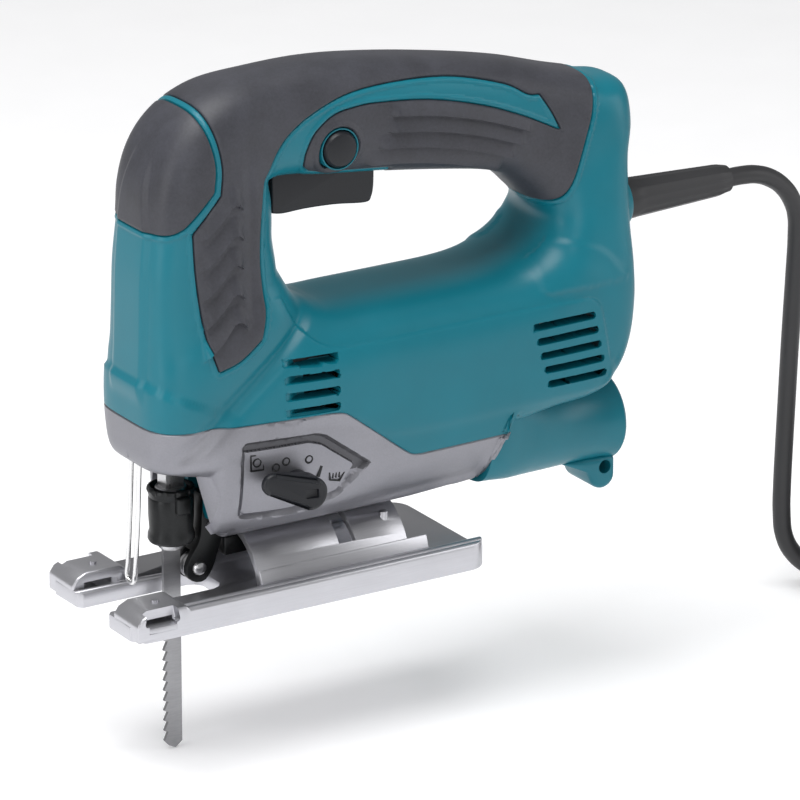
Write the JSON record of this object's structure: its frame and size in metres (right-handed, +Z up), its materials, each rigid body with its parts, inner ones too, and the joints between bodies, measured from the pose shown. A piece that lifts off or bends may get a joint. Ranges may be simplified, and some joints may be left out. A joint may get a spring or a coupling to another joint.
{
  "type": "corded D-handle jigsaw",
  "caption": "Corded D-handle jigsaw with tilting base, orbital lever, trigger, lock-on button, roller guide and fitted blade.",
  "frame": {"origin": "centre of the base's sole, on its flat underside, with the base square to the blade", "axes": "+Z up, +X from the blade towards the cord, +Y to the tool's right side"},
  "size_m": [0.4535, 0.1185, 0.2705],
  "materials": {
    "teal": "satin moulded, fine texture",
    "rubber": "matte overmoulded elastomer",
    "alloy": "bead-blasted die casting",
    "steel": "bright, brushed",
    "black": "satin black moulding",
    "black_steel": "black oxide",
    "pvc": "matte cable sheath",
    "copper": "drawn wire and bars",
    "brass": "turned",
    "carbon": "pressed carbon"
  },
  "bodies": {
    "tool_body": {"housing_left": "teal", "housing_right": "teal", "dust_port": "teal", "cord_gland": "teal", "grip_left": "rubber", "grip_right": "rubber", "nose_cap": "rubber", "gear_housing": "alloy", "bearing_retainer": "alloy", "clamp_plate": "steel", "clamp_bolt": "steel", "guide_pin": "steel", "holder_pin": "steel", "wire_guard": "steel", "gear_bearing": "steel", "front_bearing": "steel", "rear_bearing": "steel", "motor_field": "steel", "switch_body": "black", "brush_holder_left": "brass", "brush_holder_right": "brass", "carbon_brush_left": "carbon", "carbon_brush_right": "carbon", "cord_guard": "pvc", "power_cord": "pvc", "cord_coil": "pvc", "mains_plug": "black", "plug_pin_1": "brass", "plug_pin_2": "brass", "housing_screw_1": "steel", "housing_screw_2": "steel", "housing_screw_3": "steel", "housing_screw_4": "steel", "housing_screw_5": "steel"},
    "base": {"base_plate": "alloy", "tilt_saddle": "steel"},
    "guide_frame": {"plunger_guide": "black_steel"},
    "reciprocating": {"plunger": "steel", "clamp_core": "black_steel", "blade": "steel"},
    "blade_clamp_sleeve": {"clamp_sleeve": "black_steel"},
    "orbital_holder": {"roller_holder": "black_steel", "roller_pin": "steel"},
    "roller": {"guide_roller": "steel"},
    "orbital_selector": {"orbital_lever": "black", "lever_spindle": "steel"},
    "trigger_switch": {"trigger": "rubber"},
    "lock_on_button": {"lock_button": "black"},
    "large_gear": {"drive_gear": "steel", "gear_shaft": "steel", "crank_pin": "steel"},
    "armature": {"armature_shaft": "steel", "pinion": "steel", "armature_core": "copper", "commutator": "copper", "cooling_fan": "black"}
  },
  "joints": [
    {"name": "base_tilt", "type": "hinge", "parent": "tool_body", "child": "base", "pos_m": [0, 0, 0.003], "axis": [1, 0, 0], "range_deg": [-45, 45]},
    {"name": "orbital_swing", "type": "hinge", "parent": "tool_body", "child": "orbital_holder", "pos_m": [-0.0285, 0, 0.038], "axis": [0, 1, 0], "range_deg": [0, 4]},
    {"name": "guide_swing", "type": "hinge", "parent": "tool_body", "child": "guide_frame", "pos_m": [-0.054, 0, 0.147], "axis": [0, 1, 0], "range_deg": [0, 0.8]},
    {"name": "plunger_stroke", "type": "slide", "parent": "guide_frame", "child": "reciprocating", "axis": [0, 0, 1], "range_m": [-0.003, 0.02]},
    {"name": "clamp_twist", "type": "hinge", "parent": "reciprocating", "child": "blade_clamp_sleeve", "pos_m": [-0.0445, 0, 0.036], "axis": [0, 0, -1], "range_deg": [0, 45], "stiffness_Nm_per_rad": 0.05},
    {"name": "roller_spin", "type": "hinge", "parent": "orbital_holder", "child": "roller", "pos_m": [-0.035, 0, 0.013], "axis": [0, 1, 0], "continuous": true},
    {"name": "orbital_select", "type": "hinge", "parent": "tool_body", "child": "orbital_selector", "pos_m": [-0.0065, -0.036, 0.05], "axis": [0, 1, 0], "range_deg": [0, 120]},
    {"name": "trigger_pull", "type": "slide", "parent": "tool_body", "child": "trigger_switch", "axis": [0, 0, 1], "range_m": [0, 0.006], "stiffness_N_per_m": 600},
    {"name": "lock_press", "type": "slide", "parent": "tool_body", "child": "lock_on_button", "axis": [0, 1, 0], "range_m": [0, 0.003], "stiffness_N_per_m": 400},
    {"name": "gear_spin", "type": "hinge", "parent": "tool_body", "child": "large_gear", "pos_m": [-0.026, 0, 0.1055], "axis": [1, 0, 0], "continuous": true},
    {"name": "armature_spin", "type": "hinge", "parent": "tool_body", "child": "armature", "pos_m": [0.048, 0, 0.083], "axis": [1, 0, 0], "continuous": true}
  ],
  "couplings": [
    {"joint": "guide_swing", "follows": "orbital_swing", "ratio": 0.2},
    {"joint": "armature_spin", "follows": "gear_spin", "ratio": -4}
  ]
}
